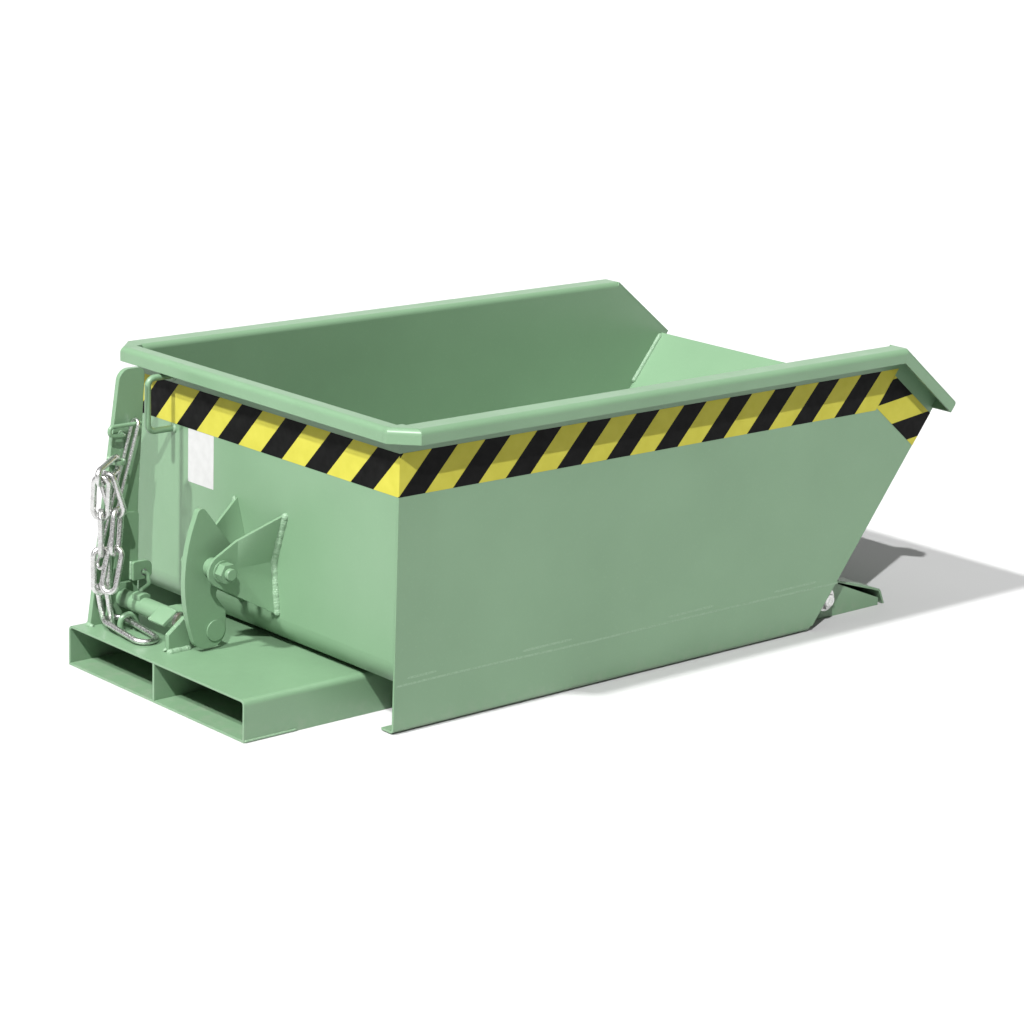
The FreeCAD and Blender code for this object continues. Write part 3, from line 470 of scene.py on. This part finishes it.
def label():
    """Blank label: a thin rectangle with rounded corners, lying on the rear wall."""
    low = np.array([LABEL_SPAN_Y[0], LABEL_SPAN_Z[0]])
    high = np.array([LABEL_SPAN_Y[1], LABEL_SPAN_Z[1]])
    turn = np.linspace(0.0, 2 * math.pi, LABEL_POINTS, endpoint=False) + math.pi / LABEL_POINTS
    centre = (low + high) / 2
    half = (high - low) / 2 - LABEL_CORNER
    ring = np.stack([np.cos(turn), np.sin(turn)], axis=-1)
    ring = centre + np.sign(ring) * half + LABEL_CORNER * ring
    depth = np.array([0.0, LABEL_THICKNESS])
    points = np.zeros((2, LABEL_POINTS, 3))
    points[..., 0] = REAR_WALL_X - depth[:, None]
    points[..., 1:] = ring[None]
    points, faces = swept(points)
    return piece("label_blank", points, faces, blank, "trough", smooth=False)


def weld_bead(name, path, outward, leg, body, ring=False, pitch=BEAD_PITCH):
    """Weld bead: a half-round profile carried along a path, in uneven scales and drawn in at its ends.

    The radius is the leg times the sum of a plain share, a scallop and a slow wander. The scallop is a
    cosine without its sign, and the wander also shifts it along the bead.
    """
    path = np.asarray(path, float)
    if ring:
        path = np.vstack([path, path[:1]])
    steps = np.linalg.norm(np.diff(path, axis=0), axis=1)
    marks = np.concatenate([[0.0], np.cumsum(steps)])
    total = marks[-1]
    count = max(BEAD_LEAST_STATIONS, int(total / BEAD_STEP))
    stations = np.linspace(0.0, total, count, endpoint=not ring)
    line = np.stack([np.interp(stations, marks, path[:, k]) for k in range(3)], axis=-1)
    ahead = np.gradient(line, axis=0)
    ahead /= np.linalg.norm(ahead, axis=1, keepdims=True)
    outward = outward(line) if callable(outward) else np.broadcast_to(np.asarray(outward, float), line.shape)
    up = outward - ahead * np.sum(outward * ahead, axis=1, keepdims=True)
    up /= np.linalg.norm(up, axis=1, keepdims=True)
    across = np.cross(ahead, up)
    angle = np.linspace(0.0, math.pi, BEAD_PROFILE_POINTS)
    wander = 0.5 * np.sin(stations / WANDER_LONG) + 0.5 * np.sin(stations / WANDER_SHORT + 1.0)
    lag = stations[:, None] + CROWN_LAG * pitch * np.sin(angle)[None, :]
    lag = lag + WANDER_LAG * pitch * wander[:, None]
    scallop = np.abs(np.cos(math.pi * lag / pitch))
    radius = leg * (BEAD_PLAIN + BEAD_SCALLOP * scallop + BEAD_WANDER * wander[:, None])
    if not ring:
        draw = np.clip(np.minimum(stations, total - stations) / leg, BEAD_TIP, 1.0)
        draw = np.sqrt(np.clip(1 - (1 - draw) ** 2, 0.0, 1.0))
        radius = radius * draw[:, None]
    points = line[:, None, :] + radius[..., None] * np.cos(angle)[None, :, None] * across[:, None, :]
    points = points + radius[..., None] * np.sin(angle)[None, :, None] * up[:, None, :]
    points, faces = swept(points, ring)
    return piece(name, points, faces, weld, body)


def ring_bead(name, centre, axis, radius, leg, body):
    """Weld bead all round a rod's end: its path is a circle about the rod where it meets the plate."""
    centre = np.asarray(centre, float)
    axis = unit(axis)
    slanting = (0.3, 0.5, 0.81)
    first = unit(np.cross(axis, slanting))
    second = np.cross(axis, first)
    turn = np.linspace(0.0, 2 * math.pi, RING_POINTS, endpoint=False)
    path = centre + radius * (np.cos(turn)[:, None] * first + np.sin(turn)[:, None] * second)
    return weld_bead(name, path, lambda line: (line - centre) / radius + axis, leg, body, ring=True)


def seam_ridge(name, start, end, outward, width, height, body):
    """Faint ridge where a weld behind shows through the sheet.

    A flat hump, the square of a cosine, is carried along a line. It swells slowly and wavers sideways.
    """
    start, end, outward = np.asarray(start, float), np.asarray(end, float), unit(outward)
    length = np.linalg.norm(end - start)
    ahead = (end - start) / length
    across = np.cross(outward, ahead)
    stations = np.linspace(0.0, length, int(length / RIDGE_STEP))
    offset = np.linspace(-0.5, 0.5, RIDGE_PROFILE_POINTS)
    swell = SWELL_MEAN + SWELL_REACH * np.sin(stations / SWELL_LONG) * np.sin(stations / SWELL_SHORT)
    swell *= np.clip(np.minimum(stations, length - stations) / RIDGE_FADE, RIDGE_TIP, 1.0)
    waver = WAVER_REACH * np.sin(stations / WAVER_LENGTH)
    hump = height * np.cos(math.pi * offset) ** 2
    sideways = width * offset[None, :] + waver[:, None]
    raised = swell[:, None] * hump[None, :] - RIDGE_SINK
    points = start + stations[:, None, None] * ahead + sideways[..., None] * across
    points = points + raised[..., None] * outward
    points, faces = swept(points)
    return piece(name, points, faces, weld, body)


tape("tape_rear", (REAR_WALL_X, SIDE_Y, TAPE_LOW_Z), (0, -1, 0), (0, 0, 1), (-1, 0, 0), 2 * SIDE_Y,
     REAR_STRIPE_START - SIDE_Y, REAR_STRIPE_LEAN, REAR_STRIPE_PERIOD)
for side, sign in SIDES:
    tape("tape_" + side, (REAR_WALL_X, sign * SIDE_Y, TAPE_LOW_Z), (1, 0, 0), (0, 0, 1), (0, sign, 0),
         SIDE_TAPE_END - REAR_WALL_X, REAR_WALL_X - SIDE_STRIPE_START, SIDE_STRIPE_LEAN, SIDE_STRIPE_PERIOD,
         slant=SIDE_TAPE_SLANT)
    slope_corner = on_slope(SLOPE_TAPE_START, SLOPE_TAPE_DEPTH, sign * SIDE_Y)
    slope_start = SLOPE_TAPE_START + SLOPE_TAPE_DEPTH - SLOPE_STRIPE_START
    tape("tape_slope_" + side, slope_corner, rim_down, -chute_up, (0, sign, 0),
         SLOPE_TAPE_END - SLOPE_TAPE_START, slope_start, SLOPE_STRIPE_LEAN, SLOPE_STRIPE_PERIOD,
         lift=TAPE_THICKNESS)

label()

for side, sign in SIDES:
    bracket_edge = [(REAR_WALL_X, sign * y, z) for y, z in HOOK_BRACKET_EDGE]
    weld_bead("weld_hook_bracket_" + side, bracket_edge, (-1.0, sign, 0.0), HOOK_BRACKET_LEG, "trough",
              pitch=HOOK_BRACKET_PITCH)
    lip = np.array([CHUTE_LIP[0], sign * SIDE_INNER_Y, CHUTE_LIP[1]])
    chute_corner = [lip - below * chute_up for below in CHUTE_WELD_SPAN]
    weld_bead("weld_chute_corner_" + side, chute_corner, chute_in - np.array([0.0, sign, 0.0]),
              CHUTE_WELD_LEG, "trough", pitch=CHUTE_WELD_PITCH)
    base_edge = [(x, sign * BASE_SIDE_Y, BASE_WELD_Z) for x in BASE_WELD_SPAN_X]
    weld_bead("weld_base_edge_" + side, base_edge, (0.0, sign, 0.0), BASE_WELD_LEG, "base_frame")

for side, sign in SIDES:
    seam_y = sign * SIDE_Y
    seam_start = (SEAM_SPAN_X[0], seam_y, SEAM_Z)
    seam_end = (SEAM_SPAN_X[1], seam_y, SEAM_Z + SEAM_RISE)
    seam_ridge("seam_line_" + side, seam_start, seam_end, (0, sign, 0), SEAM_WIDTH, SEAM_HEIGHT, "trough")
    stitch_z = SEAM_Z + STITCH_ABOVE
    for stitch, (low_x, high_x) in enumerate(STITCH_SPANS_X):
        seam_ridge("seam_stitch_%d_%s" % (stitch, side), (low_x, seam_y, stitch_z),
                   (high_x, seam_y, stitch_z), (0, sign, 0), STITCH_WIDTH, STITCH_HEIGHT, "trough")

for name, start, end, outward, leg, pitch in BASE_WELDS:
    weld_bead(name, [start, end], outward, leg, "base_frame", pitch=pitch)
for name, centre, axis, radius, leg, body in RING_WELDS:
    ring_bead(name, centre, axis, radius, leg, body)


def studio_floor():
    """Plain pale floor: one large square."""
    mesh = bpy.data.meshes.new("studio_floor")
    corners = [(x * FLOOR_HALF, y * FLOOR_HALF, 0) for x, y in ((-1, -1), (1, -1), (1, 1), (-1, 1))]
    mesh.from_pydata(corners, [], [(0, 1, 2, 3)])
    floor_material, _, _, shader = new_material("studio_floor")
    shader.inputs["Base Color"].default_value = (FLOOR_GREY, FLOOR_GREY, FLOOR_GREY, 1.0)
    shader.inputs["Roughness"].default_value = 0.9
    shader.inputs["Specular IOR Level"].default_value = 0.1
    mesh.materials.append(floor_material)
    made = bpy.data.objects.new("studio_floor", mesh)
    bpy.context.scene.collection.objects.link(made)
    return made


floor = studio_floor()


def photo_camera():
    """Camera at the photograph's place, turned by its right and ahead directions."""
    data = bpy.data.cameras.new("camera")
    data.lens = CAMERA_LENS
    data.sensor_width = CAMERA_SENSOR
    data.clip_end = CAMERA_REACH
    made = bpy.data.objects.new("camera", data)
    right = Vector(CAMERA_RIGHT).normalized()
    back = -Vector(CAMERA_AHEAD).normalized()
    up = back.cross(right).normalized()
    turn = Matrix((right, up, back)).transposed()
    made.matrix_world = Matrix.Translation(CAMERA_PLACE) @ turn.to_4x4()
    bpy.context.scene.collection.objects.link(made)
    return made


def hang_light(data, towards, place=(0.0, 0.0, 0.0)):
    """Light at a place, shining in a direction."""
    made = bpy.data.objects.new(data.name, data)
    made.location = place
    made.rotation_mode = "QUATERNION"
    made.rotation_quaternion = Vector(towards).to_track_quat("-Z", "Y")
    bpy.context.scene.collection.objects.link(made)


def sun(name, energy, spread, towards):
    """Parallel light with a spread in degrees."""
    data = bpy.data.lights.new(name, "SUN")
    data.energy = energy
    data.angle = math.radians(spread)
    hang_light(data, towards)


def panel(name, energy, size, place, towards):
    """Soft rectangular light."""
    data = bpy.data.lights.new(name, "AREA")
    data.shape = "RECTANGLE"
    data.size, data.size_y = size
    data.energy = energy
    hang_light(data, towards, place)


bpy.context.scene.camera = photo_camera()
for name, energy, spread, towards in SUNS:
    sun(name, energy, spread, towards)
panel("back_panel", PANEL_POWER, PANEL_SIZE, PANEL_PLACE, PANEL_TOWARDS)

world = bpy.data.worlds.new("studio")
world.use_nodes = True
background = world.node_tree.nodes["Background"]
background.inputs["Color"].default_value = (1.0, 1.0, 1.0, 1.0)
background.inputs["Strength"].default_value = WORLD_STRENGTH
bpy.context.scene.world = world
bpy.context.scene.view_settings.view_transform = "Standard"
